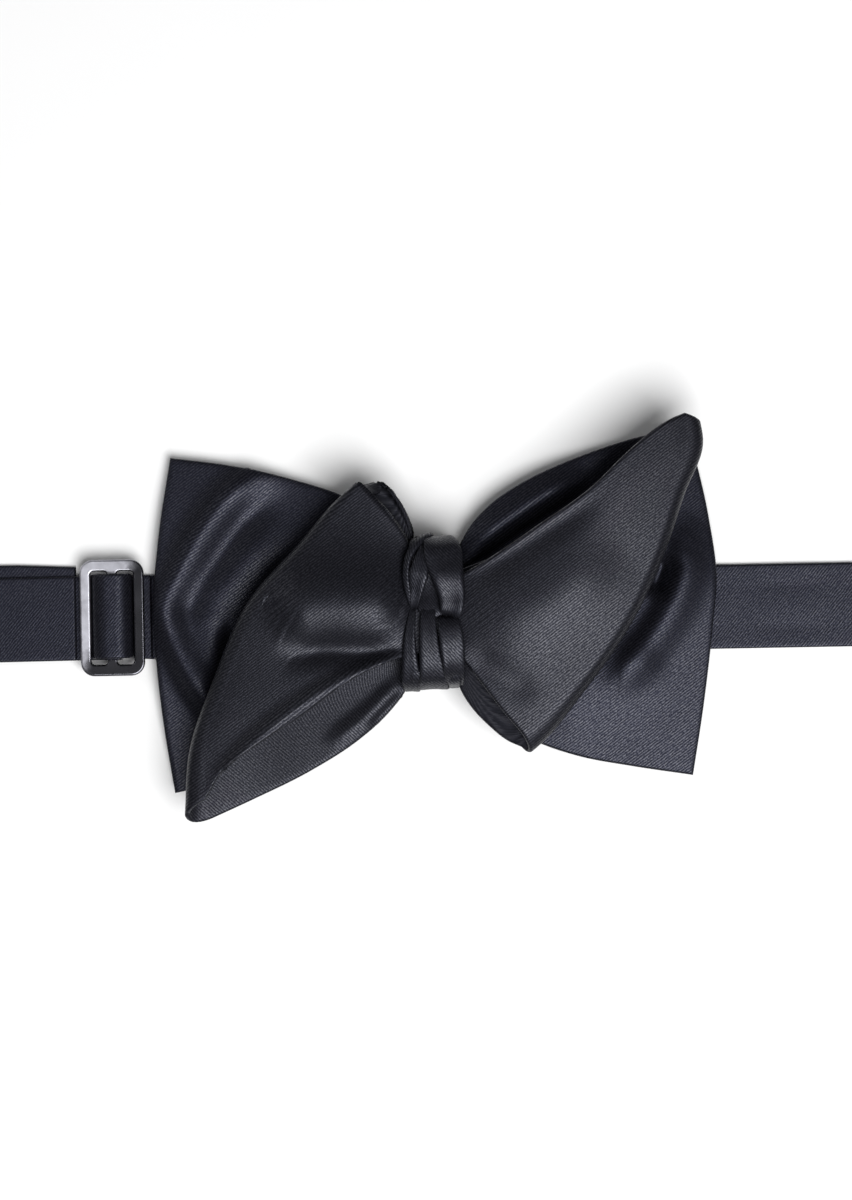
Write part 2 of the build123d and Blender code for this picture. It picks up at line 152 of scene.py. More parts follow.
def metric(grid):
    """Cloth coordinates of a grid of places: length along each strand, and width from the middle strand."""
    along = np.zeros(grid.shape[:2])
    along[1:] = np.cumsum(np.linalg.norm(np.diff(grid, axis=0), axis=2), axis=0)
    across = np.zeros(grid.shape[:2])
    across[:, 1:] = np.cumsum(np.linalg.norm(np.diff(grid, axis=1), axis=2), axis=1)
    across -= across[:, grid.shape[1] // 2][:, None]
    return along, across


def rounded_half(grid, thickness, seam_round, ends):
    """Half the cloth's thickness at each place: full inside, none at a sewn edge."""
    along, across = metric(grid)
    from_edge = np.minimum(across - across[:, :1], across[:, -1:] - across)
    if ends:
        from_edge = np.minimum(from_edge, np.minimum(along, along[-1:] - along))
    inward = 1 - np.clip(from_edge / seam_round, 0, 1)
    return thickness / 2 * np.sqrt(np.clip(1 - inward ** 2, 0, 1))


def cloth(name, grid, thickness=CLOTH_THICKNESS, seam_round=SEAM_ROUND, ends=True, weave=None):
    """A closed cloth mesh round a grid of mid-plane places, mapped by where each place is in the weave."""
    rows, columns = grid.shape[:2]
    normal = np.cross(np.gradient(grid, axis=0), np.gradient(grid, axis=1))
    normal /= np.maximum(np.linalg.norm(normal, axis=2, keepdims=True), 1e-9)
    half = rounded_half(grid, thickness, seam_round, ends)[..., None]
    skins = np.stack((grid + normal * half, grid - normal * half))
    number = np.arange(2 * rows * columns).reshape(2, rows, columns)
    number[1][:, [0, -1]] = number[0][:, [0, -1]]
    if ends:
        number[1][[0, -1]] = number[0][[0, -1]]
    faces = []
    for side in (0, 1):
        n = number[side]
        for i in range(rows - 1):
            for j in range(columns - 1):
                face = (n[i, j], n[i + 1, j], n[i + 1, j + 1], n[i, j + 1])
                faces.append(face if side == 0 else face[::-1])
    if not ends:
        for i in (0, rows - 1):
            for j in range(columns - 1):
                face = (number[0][i, j], number[0][i, j + 1], number[1][i, j + 1], number[1][i, j])
                faces.append(face if i == 0 else face[::-1])
    if weave is None:
        weave = np.stack(metric(grid), axis=-1)
    return mesh_piece(name, skins.reshape(-1, 3), faces, np.concatenate([weave.reshape(-1, 2)] * 2))


def unrolled(grid):
    """The weave of a flat strip that is folded back on itself: straight in plan, unrolled at a fold."""
    steps = np.diff(grid, axis=0)
    run = np.maximum(np.abs(steps[..., 0]), np.minimum(np.hypot(steps[..., 0], steps[..., 2]), 1.0))
    along = np.concatenate((np.zeros((1, grid.shape[1])), np.cumsum(run, axis=0)))
    middle = along.shape[0] // 2
    return np.stack((along - along[middle], grid[..., 1]), axis=-1)


def mesh_piece(name, places, faces, lengths):
    """A Blender object from places in millimetres, without the places that no face uses.

    lengths says where each place is in the weave, and becomes the map that the satin follows."""
    faces = [tuple(dict.fromkeys(int(v) for v in face)) for face in faces]
    faces = [face for face in faces if len(face) > 2]
    used = sorted({v for face in faces for v in face})
    renumber = {v: i for i, v in enumerate(used)}
    mesh = bpy.data.meshes.new(name)
    mesh.from_pydata((places[used] * MM).tolist(), [], [[renumber[v] for v in face] for face in faces])
    layer = mesh.uv_layers.new(name="cloth")
    corners = np.array([used[loop.vertex_index] for loop in mesh.loops])
    layer.data.foreach_set("uv", lengths[corners].astype(np.float32).ravel())
    mesh.shade_smooth()
    mesh.update()
    piece = bpy.data.objects.new(name, mesh)
    bpy.context.scene.collection.objects.link(piece)
    return piece


def eased_values(shares, values):
    """Evenly spaced values, with a smooth line drawn through them."""
    steps = np.linspace(0, 1, len(values))
    return Seam(*zip(steps, values))(shares)[:, 1]


def strap(name, spine, widths, thickness, crown, twist=(0, 0)):
    """A soft closed strip along a spine: a rounded flat section that can be crowned, widen and twist."""
    steps, around = STRAP_STEPS, STRAP_AROUND
    shares = np.linspace(0, 1, steps)
    centre = Seam(*spine)(shares)
    heading = np.gradient(centre, axis=0)
    heading /= np.linalg.norm(heading, axis=1, keepdims=True)
    sideways = np.array((1.0, 0.0, 0.0))
    across = sideways - (heading @ sideways)[:, None] * heading
    across /= np.linalg.norm(across, axis=1, keepdims=True)
    face = np.cross(across, heading)
    angle = np.radians(eased_values(shares, twist))[:, None]
    across, face = (across * np.cos(angle) + face * np.sin(angle),
                    face * np.cos(angle) - across * np.sin(angle))
    run = np.concatenate(([0.0], np.cumsum(np.linalg.norm(np.diff(centre, axis=0), axis=1))))
    to_end = np.clip(np.minimum(run, run[-1] - run) / END_ROUND, 0.02, 1)
    rounding = np.sqrt(1 - (1 - to_end) ** 2)
    half_width = eased_values(shares, widths) / 2 * (0.5 + 0.5 * rounding)
    half_depth = eased_values(shares, thickness) / 2 * rounding
    turn = np.linspace(0, 2 * math.pi, around, endpoint=False)
    x = np.sign(np.cos(turn)) * np.abs(np.cos(turn)) ** (2 / STRAP_SQUARENESS)
    z = np.sin(turn)
    lift = crown * (1 - x ** 2)
    places = (centre[:, None] + across[:, None] * (x[None, :, None] * half_width[:, None, None])
              + face[:, None] * (z[None, :, None] * half_depth[:, None, None] + lift[None, :, None]))
    girth = np.concatenate(([0.0], np.cumsum(np.linalg.norm(np.diff(places[steps // 2], axis=0), axis=1))))
    lengths = np.stack(np.broadcast_arrays(run[:, None], girth[None, :]), axis=-1).reshape(-1, 2)
    faces = []
    for i in range(steps - 1):
        for j in range(around):
            k = (j + 1) % around
            faces.append((i * around + j, i * around + k, (i + 1) * around + k, (i + 1) * around + j))
    faces.append(tuple(range(around))[::-1])
    faces.append(tuple((steps - 1) * around + j for j in range(around)))
    return mesh_piece(name, places.reshape(-1, 3), faces, lengths)


# Finishes -----------------------------------------------------------------------------------------------

class Wire:
    """A shader value or colour that sums and multiplies as a number does."""

    def __init__(self, finish, socket):
        self.finish, self.socket = finish, socket

    def math(self, operation, *others):
        return self.finish.node("ShaderNodeMath", {"operation": operation}, *others)

    def __add__(self, other):
        return self.math("ADD", self, other)

    def __sub__(self, other):
        return self.math("SUBTRACT", self, other)

    def __rsub__(self, other):
        return self.math("SUBTRACT", other, self)

    def __mul__(self, other):
        return self.math("MULTIPLY", self, other)

    __radd__ = __add__
    __rmul__ = __mul__

    def sine(self):
        return self.math("SINE", self)

    def clipped(self, low, high):
        """0 below low and 1 above high, with a smooth rise between."""
        settings = {"interpolation_type": "SMOOTHSTEP"}
        return self.finish.node("ShaderNodeMapRange", settings, self, low, high)


class Finish:
    """A procedural material, made node by node."""

    def __init__(self, name):
        self.material = bpy.data.materials.new(name)
        self.material.use_nodes = True
        self.tree = self.material.node_tree
        self.shader = self.tree.nodes["Principled BSDF"]

    def feed(self, socket, value):
        """Gives a socket a wire, or a number or colour of its own."""
        if isinstance(value, Wire):
            self.tree.links.new(value.socket, socket)
        else:
            socket.default_value = value

    def node(self, kind, settings=None, *values, out=0, **named):
        """A node of a kind, with its settings first, then its sockets by number or by name."""
        made = self.tree.nodes.new(kind)
        for key, value in (settings or {}).items():
            setattr(made, key, value)
        for key, value in [*enumerate(values), *((k.replace("_", " "), v) for k, v in named.items())]:
            self.feed(made.inputs[key], value)
        return Wire(self, made.outputs[out])

    def mix(self, share, a, b):
        """Colour a where share is 0 and colour b where it is 1."""
        made = self.node("ShaderNodeMix", {"data_type": "RGBA"}, out=MIXED_COLOUR)
        for number, value in ((MIX_SHARE, share), (MIX_LOW, a), (MIX_HIGH, b)):
            self.feed(made.socket.node.inputs[number], value)
        return made

    def noise(self, scale, detail=2.0, at=None, rough=0.5):
        places = at or self.node("ShaderNodeTexCoord", out=OBJECT_PLACES)
        return self.node("ShaderNodeTexNoise", Vector=places, Scale=scale, Detail=detail, Roughness=rough)

    def set(self, **values):
        """Sets the shader's own sockets, from numbers, colours or wires."""
        for key, value in values.items():
            self.feed(self.shader.inputs[key.replace("_", " ")], value)
        return self.material

    def bump(self, height, strength, distance):
        return self.node("ShaderNodeBump", None, Strength=strength, Distance=distance, Height=height)


def grey(value, blue=0.0):
    return (value, value, value * (1 + blue), 1.0)


def satin(name, pitch, slant, painted_sheen_tint):
    """Black satin twill: fine slanting ribs of long floats, each broken by the threads that cross it."""
    finish = Finish(name)
    cloth_map = finish.node("ShaderNodeUVMap", {"uv_map": "cloth"})
    parts = finish.node("ShaderNodeSeparateXYZ", None, cloth_map).socket.node
    along, across = Wire(finish, parts.outputs[0]), Wire(finish, parts.outputs[1])
    waver = finish.noise(0.5, 2.0, at=cloth_map)
    turns = 2 * math.pi / pitch
    up_the_rib = along * math.cos(slant) + across * math.sin(slant)
    over_the_ribs = across * math.cos(slant) - along * math.sin(slant)
    floats_at = finish.node("ShaderNodeCombineXYZ", None, up_the_rib * 1.5, over_the_ribs * 2.6)
    floats = finish.noise(1.0, 2.0, at=floats_at, rough=0.6)
    grain = finish.noise(3.0, 2.0, at=cloth_map, rough=0.65)
    rib = (over_the_ribs * turns + waver * 3.0 + floats * 3.4).sine() * 0.5 + 0.5
    thread = rib * 0.32 + floats * 0.75 + grain * 0.5
    shade = thread.clipped(0.55, 1.1)
    tufts = finish.noise(0.09, 2.0, at=cloth_map)
    colour = finish.mix(shade, grey(0.0006, 0.1), grey(0.012, 0.35))
    roughness = (1 - shade) * 0.2 + tufts * 0.05 + 0.3
    normal = finish.bump(thread, 0.5, 0.00014)
    # painted_sheen_tint colours the reflection: a painted blue cast of the light
    return finish.set(Base_Color=colour, Roughness=roughness, Normal=normal, Specular_IOR_Level=0.24,
                      Specular_Tint=painted_sheen_tint, Coat_Weight=shade * shade * 0.6, Coat_Roughness=0.34)


def sewing_thread():
    finish = Finish("sewing_thread")
    twist = (finish.noise(2600.0, 1.0) * 40.0).sine() * 0.5 + 0.5
    colour = finish.mix(twist, grey(0.006), grey(0.03, 0.1))
    return finish.set(Base_Color=colour, Roughness=0.75, Normal=finish.bump(twist, 0.6, 0.0001))


def dark_nickel(name, place=None):
    """Dark nickel plate, polished and randomly scuffed pale; given a place, it is also painted pale towards
    one corner of that place, a painted reflection of the light.
    """
    finish = Finish(name)
    here = finish.node("ShaderNodeTexCoord", out=OBJECT_PLACES)
    grain_at = finish.node("ShaderNodeMapping", None, here, Scale=(1.0, 0.08, 1.0))
    grain = finish.node("ShaderNodeTexNoise", None, Vector=grain_at, Scale=2600.0, Detail=2.0)
    clouds = finish.noise(420.0, 4.0, rough=0.6)
    haze = finish.noise(160.0, 2.0)
    wear_and_painted_sheen = clouds.clipped(0.5, 0.8) * 0.35
    if place is not None:
        parts = finish.node("ShaderNodeSeparateXYZ", None, here).socket.node
        x, y = Wire(finish, parts.outputs[0]), Wire(finish, parts.outputs[1])
        # painted reflection: paler towards low x and high y of the place, mottled by the clouds
        side = (place - x) * 1000.0 + y * 500.0 + clouds * 3.0
        wear_and_painted_sheen = side.clipped(0.5, 5.0) * (clouds * 0.7 + 0.55)
    colour = finish.mix(wear_and_painted_sheen, grey(0.10, 0.14), grey(0.5, 0.1))
    roughness = wear_and_painted_sheen * 0.2 + haze * 0.1 + 0.14
    normal = finish.bump(grain * 0.6 + clouds * 0.4, 0.12, 0.00003)
    return finish.set(Base_Color=colour, Metallic=1.0, Roughness=roughness, Normal=normal)


def pale_table():
    finish = Finish("pale_table")
    grain = finish.noise(30.0, 3.0)
    return finish.set(Base_Color=finish.mix(grain, grey(0.93), grey(0.95)), Roughness=0.9)


# one satin in three copies: the rear and band copies have a bluer painted reflection tint than the front's,
# standing in for how the light falls on them
SATIN = satin("satin_twill", 0.56, math.radians(36), (0.74, 0.77, 1.0, 1.0))
REAR_SATIN = satin("rear_satin_twill", 0.56, math.radians(36), (0.62, 0.66, 1.0, 1.0))
BAND_SATIN = satin("band_satin_twill", 0.56, math.radians(50), (0.62, 0.66, 1.0, 1.0))
THREAD = sewing_thread()
NICKEL = dark_nickel("dark_nickel")
# the slider's nickel has its left and top bars painted pale, a painted reflection
SLIDER_NICKEL = dark_nickel("nickel_scuffs_and_painted_sheen", sum(corner.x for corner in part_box("slider")) / 2)


def dress(piece, material, slot, body, *nodes):
    """Gives a piece its finish and the body it rides on, in place of CAD nodes."""
    piece.data.materials.clear()
    piece.data.materials.append(material)
    if nodes:
        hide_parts(*nodes)
    if body:
        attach(piece, body)
    return piece


# Rear blade ---------------------------------------------------------------------------------------------

def rear_blade():
    """One flat piece of cloth from the left end through the knot to the right end."""
    across = edge_steps(ACROSS, 0.01)
    along = edge_steps(ALONG, 0.008)[4:]
    left_low = Seam((-5, -13.5, 5), (-20, -27, 3.8), (-40, -36.3, 2.8), (-60.6, -40.8, 2.4))
    left_high = Seam((-5, 14, 5), (-9, 20, 4.6), (-18.8, 26.4, 4.0), (-32.4, 31.3, 3.4), (-46, 34.6, 3.0),
                     (-60.3, 36.7, 2.8))
    left_end = Seam((-60.6, -40.8, 2.4), (-63.0, -24, 3.6), (-64.5, -6, 4.4), (-64.5, 6, 4.5),
                    (-63.1, 20, 4.0), (-60.3, 36.7, 2.8))
    right_low = Seam((5, -13.5, 5), (12, -23, 5), (22.8, -30.2, 4.8), (32.6, -33.8, 4.2), (45, -36.4, 3.4),
                     (59.2, -38.8, 2.2))
    right_high = Seam((5, 13, 5), (9, 20, 5.4), (13.3, 24.5, 5.6), (19.1, 28.5, 5.6), (27.6, 32.7, 5.2),
                      (36.2, 36.0, 4.6), (45, 38.8, 3.6), (59.4, 41.9, 2.2))
    right_end = Seam((59.2, -38.8, 2.2), (61.7, -23.8, 3.2), (64.3, -4, 4.0), (65.3, 6.4, 4.2),
                     (63.9, 20.1, 3.6), (59.4, 41.9, 2.2))
    pinch_left = Seam((-5, -13.5, 5), (-5, 0, 5.0), (-5, 14, 5))
    pinch_right = Seam((5, -13.5, 5), (5, 0, 5.0), (5, 13, 5))
    left = leaf(left_low, left_high, pinch_left, left_end, across, along)
    right = leaf(right_low, right_high, pinch_right, right_end, across, along)
    left[..., 2] += (
        crease(left, [(-31, 34), (-43.6, 30.4), (-52.5, 20.8), (-58.6, 10.1), (-62.0, 2.6), (-60.2, -4.6),
                      (-56.2, -13.8), (-51.6, -22), (-50, -31)], 2.8, 5.2, 2.8, 0.2)
        + crease(left, [(-34, 29.5), (-41.1, 24.4), (-49.4, 13.0), (-55.6, 3.6), (-56.6, 0.2), (-54.8, -6.6),
                        (-51.0, -15)], -1.3, 4.2, 4.4, 0.25)
        + crease(left, [(-33, 23), (-40.6, 17.4), (-46.8, 10.5), (-52.2, 3.4), (-53.0, -2.5), (-50.6, -9.5),
                        (-46, -17)], 1.3, 5.4, 4.0, 0.3)
        + crease(left, [(-48, 0), (-47.0, -8), (-46.5, -18), (-48.5, -27)], -2.0, 2.8, 2.4, 0.3)
        + crease(left, [(-6, 0), (-25, 6), (-40, 6)], -1.2, 5.0, 5.0, 0.25))
    right[..., 2] += (
        crease(right, [(58.8, 23), (58.0, 15), (57.2, 8), (55.0, 1.5), (50.5, -6), (45, -13), (38, -22)],
               2.4, 5.2, 3.0, 0.3)
        + crease(right, [(54.4, 13.0), (53.2, 9.6), (51.6, 6.0), (49.4, 2.6)], -3.2, 2.6, 3.0, 0.3)
        + crease(right, [(6.5, 11), (12, 17.5), (18.9, 22.4), (36.3, 32.6)], 2.0, 3.2, 4.0, 0.3)
        + crease(right, [(6, 8), (20, 18.5), (38, 29)], -1.2, 2.2, 2.4, 0.3)
        + crease(right, [(22, -26), (36, -17), (48, -5)], 1.2, 8.0, 9.0, 0.3))
    waist = left[:1] + (right[:1] - left[:1]) * np.linspace(0, 1, 7)[1:-1, None, None]
    grid = np.concatenate((left[::-1], waist, right))
    return cloth("rear_blade", grid, weave=grid[..., :2])


# Front bow ----------------------------------------------------------------------------------------------

def eased(share, reach=0.16):
    """1 at share 0, falling smoothly to nothing within a few times reach."""
    return np.exp(-((share / reach) ** 2))[:, None]


def fold_line(crest, across, roll, lift, low_end, high_end):
    """Where a leaf meets a loop's fold: in from the crest by roll, on the leaf's own edges at its ends."""
    places = crest(across)
    heading = np.gradient(places[:, :2], axis=0)
    inward = np.stack((-heading[:, 1], heading[:, 0]), axis=1)
    inward /= np.linalg.norm(inward, axis=1, keepdims=True)
    inward *= np.sign(-(inward * places[:, :2]).sum(1).mean())
    line = places.copy()
    line[:, :2] += inward * roll
    line[:, 2] += lift
    line += (low_end - line[0]) * eased(across) + (high_end - line[-1]) * eased(1 - across)
    return line


def loop(front, back, crest, front_folds, back_folds, lift):
    """The cloth of one loop, from behind the knot out along the back leaf, round, and in along the front."""
    across = edge_steps(ACROSS, 0.01)
    along = np.linspace(0, 1, ALONG)
    leaves = []
    for (low, high, near), folds, rise in ((front, front_folds, lift), (back, back_folds, -lift)):
        line = fold_line(crest, across, LOOP_ROLL, rise, low(1.0), high(1.0))

        def far(share, line=line):
            return np.stack([np.interp(share, across, line[:, k]) for k in range(3)], axis=-1)

        panel = leaf(low, high, near, far, across, along)
        for line_points, *shape in folds:
            panel[..., 2] += crease(panel, line_points, *shape)
        leaves.append(panel)
    front_panel, back_panel = leaves
    start, finish = front_panel[-1], back_panel[-1]
    middle, arm = (start + finish) / 2, (start - finish) / 2
    out = crest(across) - middle
    out[:, 2] = 0.0
    turn = np.linspace(0, math.pi, ROUND_STEPS + 2)[1:-1, None, None]
    fold = middle[None] + arm[None] * np.cos(turn) + out[None] * np.sin(turn)
    return np.concatenate((front_panel, fold, back_panel[::-1]))


def front_bow():
    """The front strip: its two ends meet behind the knot, and it is folded into a loop on each side."""
    left_front = (
        Seam((-4.5, -9.5, 17.4), (-8.2, -10.4, 18.6), (-19.8, -15.4, 20.2), (-29.5, -22.4, 20.0),
             (-40.8, -29.4, 19.0), (-49.3, -36.2, 18.0), (-52.6, -41.6, 17.4)),
        Seam((-4.5, 12.5, 15.8), (-6.4, 17.6, 16.2), (-10.1, 22.8, 16.6), (-15.2, 28.6, 16.4)),
        Seam((-4.5, -9.5, 17.4), (-4.5, 0, 17.6), (-4.5, 12.5, 15.8)))
    left_back = (
        Seam((-4.5, -13.0, 11.0), (-7.4, -18.7, 11.4), (-10.4, -22.4, 11.6), (-17.9, -29.0, 11.8),
             (-28.6, -35.6, 11.8), (-42.5, -42.2, 11.8), (-51.2, -46.0, 12.6)),
        Seam((-4.5, 13.0, 12.4), (-4.6, 18.5, 12.8), (-5.8, 22.6, 12.6), (-7.9, 26.2, 12.2),
             (-10.8, 28.8, 11.8)),
        Seam((-4.5, -13.0, 11.0), (-4.5, 0, 11.0), (-4.5, 13.0, 12.4)))
    left_crest = Seam((-56.9, -46.0, 15.0), (-55.4, -29.9, 15.2), (-50.0, -14.9, 15.4), (-41.9, 2.6, 15.6),
                      (-30.6, 15.1, 14.8), (-19.4, 26.6, 14.2), (-16.2, 28.6, 14.1), (-13.8, 26.6, 14.1))
    left_creases = [
        ([(-4, -6.6), (-13.7, -8.4), (-27, -8.4), (-38, -11)], -1.8, 3.0, 3.6, 0.35),
        ([(-3, 1.5), (-15, 2.6), (-28, 2.6), (-40, -1)], 2.8, 7.6, 10.0, 0.3),
        ([(-5, -9.2), (-19.8, -14.4), (-40.8, -28.2), (-50, -38)], 1.2, 2.0, 1.8, 0.15)]
    left_back_creases = [([(-6, -14), (-14, -22), (-26, -31)], 0.9, 2.0, 2.0, 0.3),
                         ([(-6, -17), (-10, -20.5), (-16, -27)], -0.7, 1.4, 1.4, 0.3)]
    left = loop(left_front, left_back, left_crest, left_creases, left_back_creases, 2.6)
    right_front = (
        Seam((4.5, -9.0, 17.4), (6.4, -11.2, 17.8), (10.2, -16.0, 18.0), (14.7, -22.2, 17.8),
             (19.0, -27.4, 17.4)),
        Seam((4.5, 7.8, 17.4), (7.5, 9.2, 18.0), (23.3, 19.0, 19.6), (36.0, 27.7, 19.8), (44.2, 35.4, 19.2),
             (50.0, 40.2, 18.4), (54.6, 43.0, 17.8), (57.6, 44.2, 17.2)),
        Seam((4.5, -9.0, 17.4), (4.5, 0, 17.6), (4.5, 7.8, 17.4)))
    right_back = (
        Seam((4.5, -13.5, 11.0), (5.8, -18.0, 11.4), (8.3, -22.1, 11.8), (12.3, -26.4, 12.4),
             (16.2, -29.6, 13.0), (19.4, -31.1, 13.6)),
        Seam((4.5, 9.0, 11.4), (23, 16.5, 11.6), (36, 25.5, 11.8), (47, 35.0, 12.2), (57.0, 42.6, 13.4)),
        Seam((4.5, -13.5, 11.0), (4.5, 0, 11.0), (4.5, 9.0, 11.4)))
    right_crest = Seam((20.9, -31.4, 15.4), (24.0, -28.9, 15.6), (33.1, -18.5, 15.6), (40.1, -9.4, 15.4),
                       (47.2, 2.1, 15.4), (51.9, 12.3, 15.4), (56.8, 26.0, 15.4), (61.2, 38.0, 15.4),
                       (60.6, 42.4, 15.4))
    right_creases = [
        ([(5, 5), (20, 14), (40, 27)], -0.7, 3.0, 3.0, 0.3),
        ([(5, -3), (22, 0), (44, 14)], 1.3, 8.0, 8.0, 0.35),
        ([(6, -8), (14, -14), (24, -20)], -0.6, 3.5, 3.5, 0.3)]
    right = loop(right_front, right_back, right_crest, right_creases, [], 2.6)
    under_knot = left[:1] + (right[:1] - left[:1]) * np.linspace(0, 1, 6)[1:-1, None, None]
    grid = np.concatenate((left[::-1], under_knot, right))
    return cloth("front_bow", grid, weave=unrolled(grid))


# Knot ---------------------------------------------------------------------------------------------------

def knot_ring():
    """The part of the wrap that goes round behind the knot, from its top front edge to its bottom one."""
    path = Seam((0, -12.6, 18.8), (0, -15.0, 17.6), (0, -16.3, 13), (0, -16.6, 6), (0, -15.8, 2.4),
                (0, -13.4, 1.1), (0, -9.0, 0.85), (0, 0, 0.85), (0, 9.0, 0.85), (0, 13.4, 1.1),
                (0, 15.8, 2.4), (0, 16.6, 6), (0, 16.4, 13), (0, 15.0, 17.2), (0, 12.8, 18.6))
    spine = path(np.linspace(0, 1, 120))
    over_the_top = np.clip((spine[:, 1] - 9) / 6, 0, 1) * np.clip(spine[:, 2] / 12, 0, 1)
    half_width = 6.0 - 2.6 * over_the_top
    across = edge_steps(24, 0.02)
    grid = spine[:, None] + np.array([1.0, 0, 0]) * ((across * 2 - 1)[None] * half_width[:, None])[..., None]
    waves = 0.22 * np.sin(across * 3 * math.pi)[None, :, None]
    outward = spine - np.array([0, 0, 10.0])
    outward /= np.linalg.norm(outward, axis=1, keepdims=True)
    front_only = np.clip(np.abs(spine[:, 1]) - 12, 0, 1)[:, None, None]
    return cloth("knot_ring", grid + outward[:, None] * waves * front_only, thickness=1.2)


def knot_pieces():
    """The wrap's folds on the front of the knot."""
    middle = strap(
        "knot_lower_fold",
        [(-1.2, 2.4, 18.2), (-1.4, -0.6, 19.8), (-1.4, -4, 20.4), (-1.2, -8, 20.4), (-0.8, -12.4, 19.8),
         (-0.5, -15.6, 18.0), (-0.4, -17.3, 14.6), (-0.4, -17.4, 10.6)],
        [2.8, 4.0, 5.2, 5.9, 6.6, 7.0, 7.2, 7.0],
        [1.4, 2.2, 2.4, 2.4, 2.2, 1.8, 1.4, 1.2],
        0.6,
        (0, 4, 4, 2, 0, 0, 0))
    right_pleat = strap(
        "knot_lower_pleat",
        [(3.1, -0.6, 19.4), (3.3, -2.6, 20.8), (3.7, -5.6, 21.2), (4.0, -9, 20.8), (4.3, -12.4, 19.8),
         (4.4, -15.2, 17.6), (4.4, -16.6, 14.0), (4.4, -16.7, 10.6)],
        [4.6, 5.6, 5.4, 5.0, 4.6, 4.2, 4.0, 4.0],
        [1.6, 2.6, 2.8, 2.4, 2.2, 1.8, 1.4, 1.2],
        0.8,
        (0, 4, 10, 12, 8, 4, 0))
    left_pleat = strap(
        "knot_left_pleat",
        [(-4.7, 1.4, 18.8), (-5.1, -1.4, 19.6), (-5.6, -5.2, 19.8), (-5.7, -9, 19.4), (-5.6, -13, 18.6),
         (-5.4, -16.2, 16.8), (-5.3, -17.7, 13.6), (-5.3, -17.7, 10.6)],
        [1.2, 2.8, 4.4, 4.6, 4.2, 3.8, 3.4, 3.2],
        [1.2, 2.2, 2.6, 2.4, 2.0, 1.8, 1.4, 1.2],
        0.5,
        (-14, -10, -6, -4, -2, 0))
    right = strap(
        "knot_right_fold",
        [(0.8, 17.2, 12.4), (1.1, 17.1, 16.4), (1.9, 15.0, 19.4), (2.5, 11.0, 20.4), (3.3, 7.4, 20.9),
         (4.0, 3.8, 20.8), (3.9, 0.8, 20.8), (3.3, -1.2, 20.2)],
        [6.0, 6.8, 8.0, 9.0, 7.4, 5.8, 5.6, 4.6],
        [1.8, 2.6, 3.4, 4.4, 4.8, 4.8, 4.0, 2.8],
        1.2,
        (0, 2, 6, 8, 10, 6, 0, -6))
    rim = strap(
        "knot_left_lobe",
        [(-0.6, 17.0, 13.0), (-1.4, 17.2, 17.0), (-3.6, 15.6, 19.2), (-5.6, 12.4, 20.2),
         (-6.2, 8.6, 20.4), (-5.9, 5.2, 20.2), (-5.2, 2.4, 19.6), (-4.6, 0.6, 18.6)],
        [2.2, 2.4, 2.2, 1.8, 1.6, 1.6, 1.4, 1.0],
        [1.6, 2.0, 2.0, 1.8, 1.6, 1.6, 1.4, 1.0],
        0.2,
        (0, -10, -20, -30, -20, -10, 0))
    twist = strap(
        "knot_twisted_fold",
        [(-1.9, 15.4, 19.2), (-2.4, 13.4, 20.4), (-3.0, 10.6, 21.0), (-3.6, 7.6, 21.0),
         (-4.0, 4.8, 20.6), (-4.4, 2.2, 19.8), (-4.7, 0.4, 18.8)],
        [1.6, 3.0, 4.2, 4.6, 4.0, 2.6, 1.2],
        [1.4, 1.8, 2.2, 2.4, 2.2, 1.8, 1.0],
        0.5,
        (14, 8, 0, -8, -14, -10, 0))
    hollow = strap(
        "knot_inner_fold",
        [(-1.6, 16.6, 12.6), (-1.6, 16.2, 16.4), (-1.6, 13.4, 18.8), (-1.6, 9, 18.0), (-1.4, 4, 18.2),
         (-0.8, 0.6, 19.0), (0.4, -1.6, 19.4)],
        [6.4, 7.6, 8.4, 7.0, 7.0, 6.4, 4.6],
        [1.2, 1.6, 2.0, 1.8, 1.8, 1.8, 1.4],
        0.3)
    return [middle, right_pleat, left_pleat, right, rim, twist, hollow]


# Neckband -----------------------------------------------------------------------------------------------

def walked(points, shares):
    """Places along straight runs, by length."""
    points = np.array(points, float)
    reach = np.concatenate(([0.0], np.cumsum(np.linalg.norm(np.diff(points, axis=0), axis=1))))
    return np.stack([np.interp(shares * reach[-1], reach, line) for line in points.T], axis=-1)


def band(name, points, sway=((0, 0), (1, 0)), steps=120, ripple=0.1):
    """A sewn band along x and z points, its edges rounded, with the shallow ripples of pressed satin."""
    shares = np.linspace(0, 1, steps)
    x, z = walked(points, shares).T
    y = np.interp(shares, [p[0] for p in sway], [p[1] for p in sway])
    across = edge_steps(26, 0.03)
    sideways = np.array([0, 1.0, 0]) * ((across - 0.5) * BAND_WIDTH)[None, :, None]
    grid = np.stack((x, y, z), axis=-1)[:, None] + sideways
    waves = np.sin(shares * 23.0)[:, None] * np.cos(across * math.pi * 2)[None] * ripple
    grid[..., 2] += np.abs(waves) * np.sin(shares * math.pi)[:, None]
    return cloth(name, grid, BAND_THICKNESS, BAND_SEAM_ROUND, ends=False)


